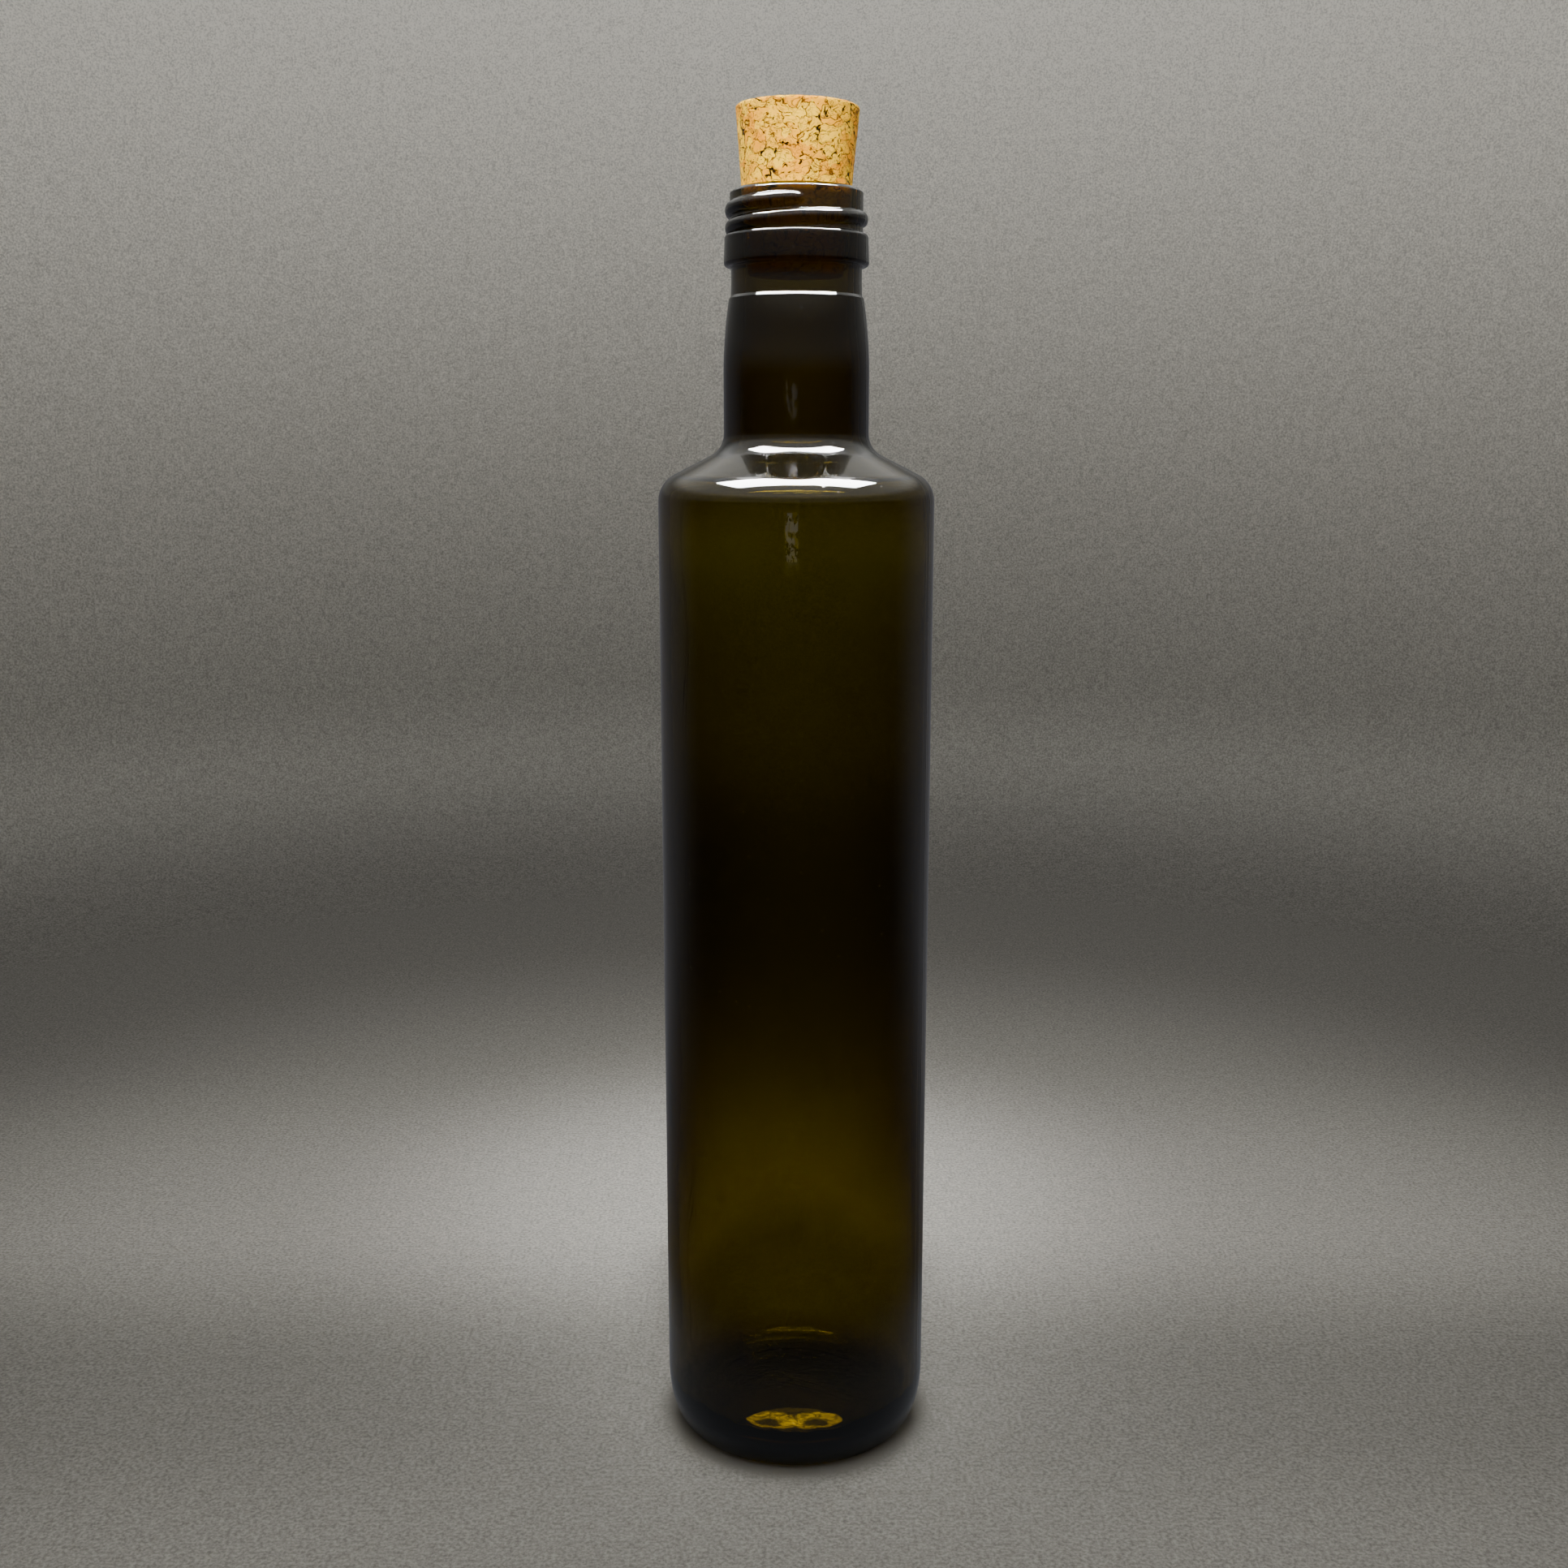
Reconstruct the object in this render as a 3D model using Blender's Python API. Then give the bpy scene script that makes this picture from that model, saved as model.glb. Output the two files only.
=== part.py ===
"""A corked oil bottle: a dark olive glass bottle with a threaded finish, and a tapered cork in its mouth.

Metres, +Z up. The bottle stands on its bearing ring at z = 0, with its axis on the Z axis and its
front towards -Y. Two nodes: bottle, cork.
"""

import math

import bmesh
import bpy
from mathutils import Matrix, Vector

MM = 0.001
SEGMENTS = 64

# Body and heel, millimetres
BODY_RADIUS = 30.0
BODY_WALL = 2.9
BODY_TOP = 214.5
HEEL_HEIGHT = 13.0
RING_OUTER = 25.5
RING_INNER = 22.5
PUSH_UP_DEPTH = 3.4
FLOOR_CENTRE = 8.2
FLOOR_EDGE = 5.6
FLOOR_CORNER = 6.5

# Shoulder and neck
SHOULDER_SLOPE = math.radians(27.0)
SHOULDER_FILLET = 6.5
NECK_FILLET = 5.2
NECK_RADIUS = 15.67
NECK_FLARE_BOTTOM = 241.0
CREASE_HEIGHT = 260.0
COLLAR_RADIUS = 13.95
NECK_BORE = 12.9
NECK_BORE_TOP = 243.0
MOUTH_BORE = 11.95
MOUTH_BORE_BOTTOM = 259.0

# Finish: the bead under the thread, the thread and the lip
BEAD_BOTTOM = 263.6
BEAD_TOP = 270.3
BEAD_RADIUS_LOW = 15.5
BEAD_RADIUS_HIGH = 15.25
BEAD_CORNER = 0.9
FINISH_RADIUS = 14.12
LIP_TOP = 279.5
LIP_OUTER_CORNER = 1.6
LIP_INNER_CORNER = 0.55
THREAD_PITCH = 3.6
THREAD_CREST = 15.15
THREAD_HALF_HEIGHT = 1.45
THREAD_START_HEIGHT = 276.0
THREAD_START = math.radians(-4.0)
THREAD_SWEEP = math.radians(612.0)
THREAD_FADE = math.radians(24.0)
THREAD_ROOT_DEPTH = 0.5
THREAD_SIDES = 6

# Cork
CORK_TOP = 296.0
CORK_TOP_RADIUS = 13.05
CORK_TAPER = 0.0875
CORK_LENGTH = 34.5
CORK_EDGE = 0.6
CORK_LEAN = math.radians(0.8)

GLASS_COLOUR = (0.055, 0.045, 0.010, 1.0)
CORK_COLOUR = (0.69, 0.43, 0.20, 1.0)


def clear_scene():
    """Removes every object of the startup scene."""
    for item in list(bpy.data.objects):
        bpy.data.objects.remove(item, do_unlink=True)


def principled(name, colour, roughness):
    """A plain Principled material."""
    material = bpy.data.materials.new(name)
    material.use_nodes = True
    material.diffuse_color = colour
    shader = material.node_tree.nodes["Principled BSDF"]
    shader.inputs["Base Color"].default_value = colour
    shader.inputs["Roughness"].default_value = roughness
    shader.inputs["Metallic"].default_value = 0.0
    return material


def rounded(corners, steps=4):
    """Points (r, z) along a line of corners (r, z, fillet radius), each rounded by its radius."""
    points = []
    for index, (r, z, radius) in enumerate(corners):
        here = Vector((r, z))
        if radius == 0.0:
            points.append(here)
            continue
        before = (Vector(corners[index - 1][:2]) - here).normalized()
        after = (Vector(corners[index + 1][:2]) - here).normalized()
        half = before.angle(after) / 2
        tangent = radius / math.tan(half)
        centre = here + (before + after).normalized() * radius / math.sin(half)
        first = here + before * tangent - centre
        turn = first.angle_signed(here + after * tangent - centre)
        for step in range(steps + 1):
            arm = first.copy()
            arm.rotate(Matrix.Rotation(-turn * step / steps, 2))
            points.append(centre + arm)
    return points


def heel_curve(steps):
    """The quarter ellipse from the bearing ring up to the straight body."""
    inset = BODY_RADIUS - RING_OUTER
    points = []
    for step in range(1, steps + 1):
        angle = math.pi / 2 * step / steps
        r = RING_OUTER + inset * math.sin(angle)
        points.append(Vector((r, HEEL_HEIGHT * (1 - math.cos(angle)))))
    return points


def neck_flare(steps):
    """The arc by which the neck draws in from its straight part to the crease."""
    rise = CREASE_HEIGHT - NECK_FLARE_BOTTOM
    inset = NECK_RADIUS - COLLAR_RADIUS
    radius = (rise * rise + inset * inset) / (2 * inset)
    points = []
    for step in range(steps + 1):
        z = rise * step / steps
        r = NECK_RADIUS - radius + math.sqrt(radius * radius - z * z)
        points.append(Vector((r, NECK_FLARE_BOTTOM + z)))
    return points


def push_up(steps):
    """The shallow dome under the bottle, from its centre out to the bearing ring."""
    points = []
    for step in range(steps):
        share = step / steps
        z = PUSH_UP_DEPTH * (0.5 + 0.5 * math.cos(math.pi * share))
        points.append(Vector((RING_INNER * share, z)))
    return points


def shoulder_rise(run):
    """How far the sloping shoulder rises over a horizontal run."""
    return run * math.tan(SHOULDER_SLOPE)


def outer_profile():
    """The outside, from the centre of the push-up to the top of the lip."""
    fillet_reach = SHOULDER_FILLET * math.tan((math.pi / 2 - SHOULDER_SLOPE) / 2)
    shoulder_corner = BODY_TOP + fillet_reach
    neck_corner = shoulder_corner + shoulder_rise(BODY_RADIUS - NECK_RADIUS)
    points = push_up(6)
    points.append(Vector((RING_INNER, 0.0)))
    points.append(Vector((RING_OUTER, 0.0)))
    points += heel_curve(7)
    points += rounded([
        (BODY_RADIUS, HEEL_HEIGHT + 1.0, 0.0),
        (BODY_RADIUS, shoulder_corner, SHOULDER_FILLET),
        (NECK_RADIUS, neck_corner, NECK_FILLET),
        (NECK_RADIUS, NECK_FLARE_BOTTOM - 1.0, 0.0),
    ], 5)
    points += neck_flare(5)
    points += rounded([
        (COLLAR_RADIUS, CREASE_HEIGHT + 0.6, 0.0),
        (COLLAR_RADIUS, BEAD_BOTTOM, 0.0),
        (BEAD_RADIUS_LOW, BEAD_BOTTOM, BEAD_CORNER),
        (BEAD_RADIUS_HIGH, BEAD_TOP, BEAD_CORNER),
        (FINISH_RADIUS, BEAD_TOP, 0.0),
        (FINISH_RADIUS, LIP_TOP, LIP_OUTER_CORNER),
        (MOUTH_BORE, LIP_TOP, LIP_INNER_CORNER),
        (MOUTH_BORE, MOUTH_BORE_BOTTOM, 0.0),
    ], 3)
    return points


def inner_profile():
    """The inside, from the foot of the mouth down to the centre of the floor."""
    inside = BODY_RADIUS - BODY_WALL
    lift = SHOULDER_FILLET * math.tan((math.pi / 2 - SHOULDER_SLOPE) / 2)
    corner = BODY_TOP + lift - BODY_WALL * math.tan((math.pi / 2 - SHOULDER_SLOPE) / 2)
    neck_corner = corner + shoulder_rise(inside - NECK_BORE)
    points = rounded([
        (NECK_BORE, NECK_BORE_TOP, 0.0),
        (NECK_BORE, neck_corner, NECK_FILLET + BODY_WALL),
        (inside, corner, SHOULDER_FILLET - BODY_WALL),
        (inside, FLOOR_EDGE, FLOOR_CORNER),
        (inside - 2 * FLOOR_CORNER, FLOOR_EDGE, 0.0),
    ], 4)
    points.append(Vector((0.0, FLOOR_CENTRE)))
    return points


def revolved(name, profile, segments):
    """A closed body of revolution: the profile starts and ends on the axis and keeps outside on its right."""
    shell = bmesh.new()
    rings = []
    for r, z in profile:
        if r < 1e-6:
            rings.append([shell.verts.new((0.0, 0.0, z * MM))])
            continue
        ring = []
        for step in range(segments):
            angle = 2 * math.pi * step / segments
            ring.append(shell.verts.new((r * MM * math.cos(angle), r * MM * math.sin(angle), z * MM)))
        rings.append(ring)
    for low, high in zip(rings, rings[1:]):
        for step in range(segments):
            after = (step + 1) % segments
            corners = [low[step % len(low)], low[after % len(low)], high[after % len(high)], high[step % len(high)]]
            shell.faces.new(dict.fromkeys(corners))
    bmesh.ops.recalc_face_normals(shell, faces=shell.faces)
    return finished(name, shell)


def finished(name, shell):
    """Turns a bmesh into a named object in the scene."""
    mesh = bpy.data.meshes.new(name)
    shell.to_mesh(mesh)
    shell.free()
    body = bpy.data.objects.new(name, mesh)
    bpy.context.scene.collection.objects.link(body)
    return body


def thread_section(turn, scale):
    """One cross-section of the thread, at a turn angle measured from the front towards the left."""
    centre = THREAD_START_HEIGHT - THREAD_PITCH * turn / (2 * math.pi)
    azimuth = -math.pi / 2 - turn
    outline = [(FINISH_RADIUS - THREAD_ROOT_DEPTH, -THREAD_HALF_HEIGHT * scale)]
    for side in range(THREAD_SIDES + 1):
        angle = -math.pi / 2 + math.pi * side / THREAD_SIDES
        bulge = (THREAD_CREST - FINISH_RADIUS) * scale
        r = FINISH_RADIUS + bulge * math.cos(angle)
        outline.append((r, THREAD_HALF_HEIGHT * scale * math.sin(angle)))
    outline.append((FINISH_RADIUS - THREAD_ROOT_DEPTH, THREAD_HALF_HEIGHT * scale))
    points = []
    for r, z in outline:
        points.append((r * MM * math.cos(azimuth), r * MM * math.sin(azimuth), (centre + z) * MM))
    return points


def build_thread():
    """The right-handed thread: a rounded ridge that fades in and out over a short run."""
    steps = round(THREAD_SWEEP / (2 * math.pi) * SEGMENTS)
    shell = bmesh.new()
    rows = []
    for step in range(steps + 1):
        turn = THREAD_START + THREAD_SWEEP * step / steps
        run = min(step, steps - step) * THREAD_SWEEP / steps
        share = min(1.0, run / THREAD_FADE)
        scale = 0.25 + 0.75 * math.sin(math.pi / 2 * share)
        rows.append([shell.verts.new(point) for point in thread_section(turn, scale)])
    for low, high in zip(rows, rows[1:]):
        for side in range(len(low)):
            after = (side + 1) % len(low)
            shell.faces.new((low[side], low[after], high[after], high[side]))
    shell.faces.new(rows[0])
    shell.faces.new(rows[-1])
    bmesh.ops.recalc_face_normals(shell, faces=shell.faces)
    return finished("thread_tool", shell)


def joined(body, tool):
    """Unites the tool with the body and removes the tool."""
    union = body.modifiers.new("union", "BOOLEAN")
    union.operation = "UNION"
    union.solver = "EXACT"
    union.object = tool
    bpy.context.view_layer.objects.active = body
    bpy.ops.object.modifier_apply(modifier=union.name)
    bpy.data.objects.remove(tool, do_unlink=True)


def smooth(body, angle):
    """Smooth faces, with edges sharper than the angle kept crisp."""
    for face in body.data.polygons:
        face.use_smooth = True
    body.data.set_sharp_from_angle(angle=math.radians(angle))


def build_bottle():
    """The glass: one hollow body, open at its mouth."""
    bottle = revolved("bottle", outer_profile() + inner_profile(), SEGMENTS)
    joined(bottle, build_thread())
    smooth(bottle, 32)
    bottle.data.materials.clear()
    bottle.data.materials.append(principled("olive_glass", GLASS_COLOUR, 0.05))
    return bottle


def build_cork():
    """The cork: a tapered plug that leans a little to the right of the bottle's axis."""
    low_radius = CORK_TOP_RADIUS - CORK_TAPER * CORK_LENGTH
    bottom = CORK_TOP - CORK_LENGTH
    profile = [Vector((0.0, bottom))]
    profile += rounded([
        (low_radius - 4.0, bottom, 0.0),
        (low_radius, bottom, CORK_EDGE),
        (CORK_TOP_RADIUS, CORK_TOP, CORK_EDGE),
        (CORK_TOP_RADIUS - 4.0, CORK_TOP, 0.0),
    ], 3)
    profile.append(Vector((0.0, CORK_TOP)))
    cork = revolved("cork", profile, SEGMENTS)
    pivot = Vector((0.0, 0.0, LIP_TOP * MM))
    lean = Matrix.Translation(pivot) @ Matrix.Rotation(CORK_LEAN, 4, "Y") @ Matrix.Translation(-pivot)
    cork.data.transform(lean)
    smooth(cork, 40)
    cork.data.materials.append(principled("agglomerated_cork", CORK_COLOUR, 0.85))
    return cork


clear_scene()
build_bottle()
build_cork()
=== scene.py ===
"""A dark olive glass oil bottle with a threaded mouth, closed by a tapered cork.

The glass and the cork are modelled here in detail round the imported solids, and given their
materials, on a pale floor with soft light. Metres, +Z up, the front of the bottle towards -Y.
"""

import math
import random

import bpy
import numpy as np
from mathutils import Matrix, Vector


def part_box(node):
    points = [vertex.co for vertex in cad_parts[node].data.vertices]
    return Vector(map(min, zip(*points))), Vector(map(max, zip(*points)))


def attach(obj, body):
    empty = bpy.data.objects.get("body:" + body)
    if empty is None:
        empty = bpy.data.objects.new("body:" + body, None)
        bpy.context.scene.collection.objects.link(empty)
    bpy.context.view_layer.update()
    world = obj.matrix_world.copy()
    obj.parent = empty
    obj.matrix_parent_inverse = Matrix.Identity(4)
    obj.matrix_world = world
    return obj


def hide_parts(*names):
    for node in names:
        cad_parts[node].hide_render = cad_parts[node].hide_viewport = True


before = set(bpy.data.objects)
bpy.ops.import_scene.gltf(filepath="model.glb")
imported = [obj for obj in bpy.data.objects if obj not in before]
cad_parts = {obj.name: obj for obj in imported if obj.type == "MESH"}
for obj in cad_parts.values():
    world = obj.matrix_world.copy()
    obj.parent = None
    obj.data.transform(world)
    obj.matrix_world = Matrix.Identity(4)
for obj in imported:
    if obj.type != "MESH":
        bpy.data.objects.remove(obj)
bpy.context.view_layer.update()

bl_info = {
    "name": "Corked oil bottle",
    "version": (1, 0, 0),
    "blender": (4, 5, 0),
    "location": "View3D > Sidebar > Bottle",
    "description": "Builds a corked glass oil bottle and the stage it stands on",
    "category": "Object",
}

MM = 0.001
FRONT = -math.pi / 2
BOTTLE_LOW, BOTTLE_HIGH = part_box("bottle")
BODY_RADIUS = (BOTTLE_HIGH[0] - BOTTLE_LOW[0]) / 2
LIP_TOP = BOTTLE_HIGH[2]

# Fixed shape of the glass, outside, from the floor up
PUSH_UP_DEPTH = 3.4 * MM
RING_INNER = 22.5 * MM
RING_OUTER = 25.5 * MM
HEEL_HEIGHT = 13.0 * MM
BODY_TOP = 214.5 * MM
SHOULDER_SLOPE = math.radians(27.0)
SHOULDER_FILLET = 6.5 * MM
NECK_FILLET = 5.2 * MM
NECK_FLARE_BOTTOM = 241.0 * MM
CREASE_HEIGHT = 256.9 * MM
CREASE_STEP = 0.51 * MM
CREASE_SLOPE = math.radians(35.5)
CREASE_EDGE = 0.15 * MM
CREASE_DRAFT = 0.02 * MM
CREASE_TAIL = 0.08 * MM
CREASE_TAIL_LENGTH = 3.2 * MM
CREASE_ROUND = 0.14 * MM
COLLAR_RADIUS = 13.95 * MM
COLLAR_FILLET = 0.5 * MM
BEAD_BOTTOM = 263.6 * MM
BEAD_TOP = 270.3 * MM
BEAD_RADIUS_LOW = 15.5 * MM
BEAD_RADIUS_HIGH = 15.25 * MM
BEAD_CORNER = 0.9 * MM
FINISH_RADIUS = 14.12 * MM
FINISH_FILLET = 0.25 * MM
LIP_OUTER_CORNER = 1.7 * MM
LIP_INNER_CORNER = 0.6 * MM
THREAD_START_HEIGHT = 276.0 * MM
THREAD_HALF_HEIGHT = 1.5 * MM
THREAD_END_HEIGHT = 0.35
THREAD_START = math.radians(-4.0)
THREAD_SWEEP = math.radians(612.0)
THREAD_FADE = math.radians(22.0)

# Fixed shape of the glass, inside, from the mouth down
MOUTH_BORE = 11.8 * MM
THROAT_BORE = 11.0 * MM
THROAT_TOP = 262.0 * MM
THROAT_BOTTOM = 251.0 * MM
NECK_BORE = 12.1 * MM
NECK_BORE_TOP = 243.0 * MM
FLOOR_CORNER = 7.5 * MM
FLOOR_EDGE = 4.8 * MM
FLOOR_RIM_WIDTH = 2.0 * MM
FLOOR_RIM_RISE = 0.3 * MM
FLOOR_CENTRE = 7.4 * MM

# How finely the glass is drawn: steps in an arc, and the longest straight piece
HEEL_STEPS = 20
OUTER_STEPS = 14
INNER_STEPS = 10
FINISH_STEPS = 7
LIP_STEPS = 9
LEAD_IN = 1.0 * MM
RING_STRAIGHT = 0.8 * MM
BODY_STRAIGHT = 2.5 * MM
FLARE_STRAIGHT = 1.5 * MM
FINISH_FOOT = 0.6 * MM
FINISH_HEAD = 0.1 * MM
THREAD_STRAIGHT = 0.16 * MM
INNER_STRAIGHT = 4.0 * MM
SAME_PLACE = 1e-7
MERGE_REACH = 1e-6
LEAST_RADIUS = 1e-6

# Slow unevenness of the blown walls: sets of waves as (depth, seed, number, rounds, lengths)
OUTER_WAVES = (
    (0.012 * MM, 3, 9, (3, 9), (0.05, 0.14)),
    (0.004 * MM, 5, 8, (14, 26), (0.02, 0.08)),
)
INNER_WAVES = (
    (0.10 * MM, 7, 8, (2, 6), (0.05, 0.16)),
    (0.02 * MM, 9, 8, (9, 18), (0.03, 0.09)),
)
FLOOR_WAVES = (
    (0.05 * MM, 11, 12, (4, 40), (0.004, 0.010)),
)
WALL_HEIGHTS = [height * MM for height in (40, 70, 134, 152, 185, 207)]
WALL_GAINS = [gain * MM for gain in (0.10, 0.62, 0.60, 0.30, -0.15, -0.60)]
WALL_BOTTOM = 8.0 * MM
WALL_BLEND_LOW = 10.0 * MM
WALL_BLEND_HIGH = 12.0 * MM
WALL_MARGIN = 0.5 * MM
FLOOR_HEIGHTS = (4.0 * MM, 20.0 * MM)
FLOOR_HEART = 8.0 * MM
FLOOR_MARGIN = 0.3 * MM
FINISH_MARGIN = 0.3 * MM
BEAD_MARGIN = 0.2 * MM
LIP_MARGIN = 0.8 * MM

# Marks in the skin of the glass: where they begin, are full and end
SEAM_AZIMUTH = math.radians(-19.0)
SEAM_WIDTHS = (0.08 * MM, 0.38 * MM)
HEEL_TICKS = 84
TICK_RADII = (23.8 * MM, 24.3 * MM, 26.8 * MM, 27.4 * MM)
TICK_HEIGHTS = (2.0 * MM, 3.0 * MM)
PUSH_UP_EDGE = (20.5 * MM, 22.5 * MM)
PUSH_UP_ROOF = (3.6 * MM, 4.0 * MM)
STREAK_SIDE = 1.1 * MM
STREAK_WIDTHS = (0.9 * MM, 2.1 * MM)
STREAK_DEPTHS = (-12.0 * MM, -10.0 * MM)
STREAK_ON_BODY = (196.0 * MM, 206.0 * MM, 212.5 * MM, 214.0 * MM)
STREAK_ON_NECK = (229.0 * MM, 233.0 * MM, 238.0 * MM, 243.0 * MM)
GLASS_RELIEF = 0.12 * MM

# The cork, with its granules and crumbs counted to the metre
CORK_TOP = 296.0 * MM
CORK_EDGE = 0.5 * MM
CORK_EDGE_STEPS = 5
CORK_STRAIGHT = 0.3 * MM
CORK_SIDES = 224
CORK_LEAN = math.radians(0.8)
CORK_LUMPS = (("lumps", 3.5 * MM, 0.12 * MM), ("grain", 1.1 * MM, 0.10 * MM))
CORK_RELIEF = 0.25 * MM
GRANULES = 330.0
CRUMBS = 800.0
GRANULE_LAY = (1.0, 1.0, 1.7)
# Painted shade on the part of the cork inside the neck: where it sets in, and how dark it gets
NECK_SHADE_HEIGHTS = (277.2 * MM, 279.5 * MM)
NECK_SHADE_SHARE = 0.86

# The stage
FLOOR_DROP = 0.1 * MM
FLOOR_SIDES = 96
FLOOR_STRAIGHT = 0.05
SWEEP_RADIUS = 0.10
SWEEP_STEPS = 12
BACKDROP_HEIGHT = 0.95
BACKDROP_STRAIGHT = 0.1
CAMERA_SIDE = -2.65 * MM
SENSOR_WIDTH = 36.0
GLOW_PLACE = Vector((-0.5, -13.8, 0.3)) * MM
GLOW_SIZE = (0.023, 0.017)

# Painted light and shade on the paper (a painted pool of light behind the bottle, painted shade in front
# of it and far out towards the foot of the backdrop, more painted light high up): its start, and its
# steps as (from, to, gain)
PAINTED_LIGHT_BY_REACH = (0.42, ((0.14, 0.42, -0.24),))
PAINTED_LIGHT_BY_DEPTH = (0.88, ((-0.06, -0.01, -0.16), (0.015, 0.10, 0.58), (0.13, 0.25, -0.22)))
PAINTED_LIGHT_BY_HEIGHT = (0.0, ((0.0, 0.07, 0.19), (0.03, 0.50, 0.54)))
UNDER_BOTTLE = (0.027, 0.034)
GRAIN_START = (0.028, 0.034)

# The room that the glass mirrors in place of the paper, and where each colour gives way
ROOM_FRONT = (0.012, 0.012, 0.012)
ROOM_BACK = (0.13, 0.13, 0.14)
ROOM_NEAR = (0.14, 0.145, 0.155)
ROOM_WALL = (0.22, 0.22, 0.21)
ROOM_TOP = (1.1, 1.1, 1.05)
FRONT_TO_BACK = (-0.1, 0.3)
NEAR_TO_FAR = (0.055, 0.11)
FLOOR_TO_WALL = (0.26, 0.34)
WALL_TO_TOP = (0.40, 0.62)


class BottleSettings(bpy.types.PropertyGroup):
    """Sizes and colours of the glass bottle."""

    body_radius: bpy.props.FloatProperty(
        name="Body radius", description="Outer radius of the straight body",
        default=BODY_RADIUS, unit="LENGTH")
    neck_radius: bpy.props.FloatProperty(
        name="Neck radius", description="Outer radius of the straight part of the neck",
        default=15.67 * MM, unit="LENGTH")
    wall: bpy.props.FloatProperty(
        name="Wall", description="Thickness of the body's wall",
        default=2.4 * MM, unit="LENGTH")
    thread_pitch: bpy.props.FloatProperty(
        name="Thread pitch", description="Rise of the thread in one turn",
        default=3.6 * MM, unit="LENGTH")
    thread_depth: bpy.props.FloatProperty(
        name="Thread depth", description="How far the thread stands out of the finish",
        default=1.05 * MM, unit="LENGTH")
    sides: bpy.props.IntProperty(
        name="Sides", description="Steps round the bottle", default=192)
    tint: bpy.props.FloatVectorProperty(
        name="Tint", description="Colour that light keeps on its way through the glass",
        default=(0.754, 0.714, 0.04), size=3, subtype="COLOR")
    depth_of_tint: bpy.props.FloatProperty(
        name="Depth of tint", description="How strongly a metre of glass absorbs", default=1640.0)


class CorkSettings(bpy.types.PropertyGroup):
    """Sizes and colours of the cork."""

    top_radius: bpy.props.FloatProperty(
        name="Top radius", description="Radius of the cork at its upper edge",
        default=13.05 * MM, unit="LENGTH")
    taper: bpy.props.FloatProperty(
        name="Taper", description="Loss of radius for each metre downwards", default=0.0875)
    length: bpy.props.FloatProperty(
        name="Length", description="Height of the cork", default=34.5 * MM, unit="LENGTH")
    pale: bpy.props.FloatVectorProperty(
        name="Pale granule", description="Colour of the lightest granules",
        default=(0.97, 0.565, 0.02), size=3, subtype="COLOR")
    warm: bpy.props.FloatVectorProperty(
        name="Warm granule", description="Colour of the darkest granules",
        default=(0.88, 0.34, 0.006), size=3, subtype="COLOR")
    crevice: bpy.props.FloatVectorProperty(
        name="Crevice", description="Colour between the granules",
        default=(0.15, 0.052, 0.005), size=3, subtype="COLOR")
    bark: bpy.props.FloatVectorProperty(
        name="Bark", description="Colour of the dark flecks",
        default=(0.010, 0.004, 0.002), size=3, subtype="COLOR")
    # Painted shade: the colour of the cork where it sits in shade inside the neck
    neck_shade: bpy.props.FloatVectorProperty(
        name="Painted shade in the neck", description="Colour that the cork takes on inside the neck",
        default=(0.060, 0.050, 0.015), size=3, subtype="COLOR")


class StageSettings(bpy.types.PropertyGroup):
    """The floor and the camera."""

    paper: bpy.props.FloatVectorProperty(
        name="Paper", description="Colour of the floor and the backdrop at its lightest",
        default=(0.85, 0.825, 0.76), size=3, subtype="COLOR")
    floor_radius: bpy.props.FloatProperty(
        name="Floor radius", description="Distance from the bottle to the foot of the backdrop",
        default=0.50, unit="LENGTH")
    camera_distance: bpy.props.FloatProperty(
        name="Camera distance", description="Level distance from the bottle's axis to the camera",
        default=0.385, unit="LENGTH")
    camera_height: bpy.props.FloatProperty(
        name="Camera height", description="Height of the camera over the floor",
        default=0.2246, unit="LENGTH")
    camera_tilt: bpy.props.FloatProperty(
        name="Camera tilt", description="How far the camera looks down",
        default=math.radians(10.7), unit="ROTATION")
    camera_lens: bpy.props.FloatProperty(
        name="Lens", description="Focal length for a sensor 36 mm across",
        default=40.06, unit="CAMERA")


class Sum:
    """A number socket of a node tree that can be used in ordinary arithmetic."""

    def __init__(self, paint, socket):
        self.paint = paint
        self.socket = socket

    def maths(self, operation, *others):
        return self.paint.maths(operation, self, *others)

    def __add__(self, other):
        return self.maths("ADD", other)

    def __sub__(self, other):
        return self.maths("SUBTRACT", other)

    def __rsub__(self, other):
        return self.paint.maths("SUBTRACT", other, self)

    def __mul__(self, other):
        return self.maths("MULTIPLY", other)

    __radd__ = __add__
    __rmul__ = __mul__

    def size(self):
        """The value without its sign."""
        return self.maths("ABSOLUTE")

    def root(self):
        return self.maths("SQRT")

    def clamped(self):
        """The value held between 0 and 1."""
        return self.paint.node("ShaderNodeClamp", {}, {"Value": self}).out("Result")

    def between(self, low, high):
        """0 below low, 1 above high and a smooth rise between."""
        settings = {"interpolation_type": "SMOOTHSTEP"}
        sockets = {"Value": self, "From Min": low, "From Max": high}
        return self.paint.node("ShaderNodeMapRange", settings, sockets).out("Result")

    def fading(self, low, high):
        """1 below low, 0 above high and a smooth fall between."""
        return 1.0 - self.between(low, high)

    def within(self, start, full, fade, end):
        """A smooth rise from start to full, and a smooth fall from fade to end."""
        return self.between(start, full) * self.fading(fade, end)

    def stepped(self, start, steps):
        """A level that starts here and gains by each step (from, to, gain) that the value passes."""
        level = start
        for low, high, gain in steps:
            level = level + self.between(low, high) * gain
        return level


class Node:
    """A node just added to a tree."""

    def __init__(self, paint, node):
        self.paint = paint
        self.node = node

    def out(self, name):
        return Sum(self.paint, self.node.outputs[name])


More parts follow.
